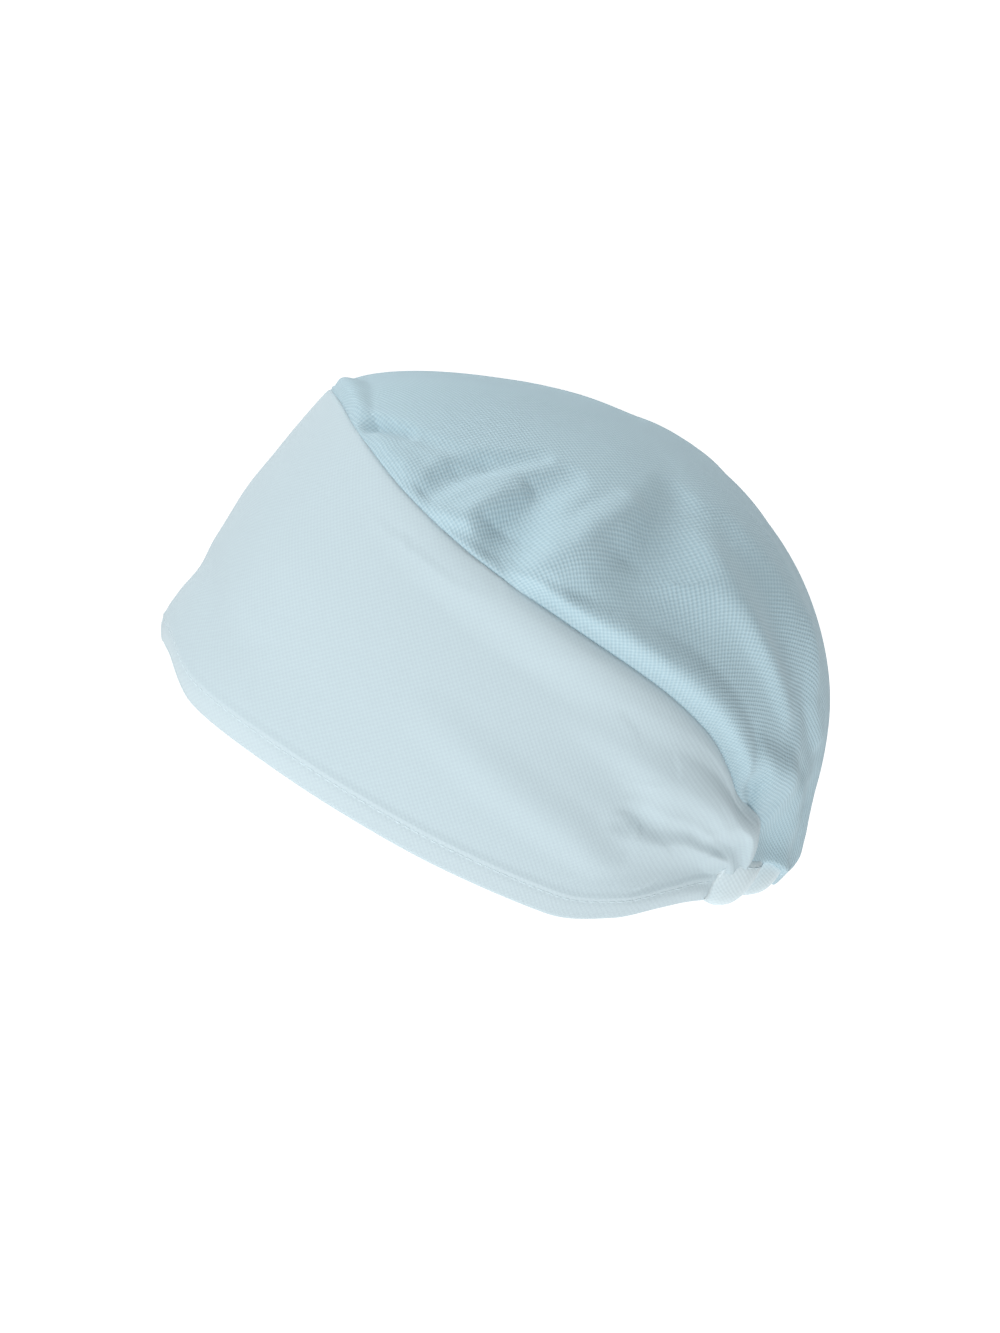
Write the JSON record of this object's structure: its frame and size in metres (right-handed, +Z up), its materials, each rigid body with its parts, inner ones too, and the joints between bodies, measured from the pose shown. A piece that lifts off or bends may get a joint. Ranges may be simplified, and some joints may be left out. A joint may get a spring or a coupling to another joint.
{
  "type": "elastic bandana cap",
  "caption": "Soft elastic bandana cap: a wide front band that tapers to a gathered nape casing, with a full crown panel gathered into it.",
  "frame": {"origin": "where the top of the wearer's head touches the inside of the crown", "axes": "+Z up with the wearer upright, -Y the way the wearer faces, +X the wearer's left; the cap is tilted as worn, with its front edge lifted 27 degrees"},
  "size_m": [0.1702, 0.2091, 0.1614],
  "materials": {
    "band_cloth": "pale blue waffle-weave piqué, matt",
    "crown_cloth": "pale blue waffle-weave piqué, matt, gathered",
    "casing_cloth": "pale blue waffle-weave piqué, matt, drawn up over elastic"
  },
  "bodies": {
    "root": {"front_band": "band_cloth", "crown": "crown_cloth", "nape_casing": "casing_cloth"}
  },
  "joints": []
}
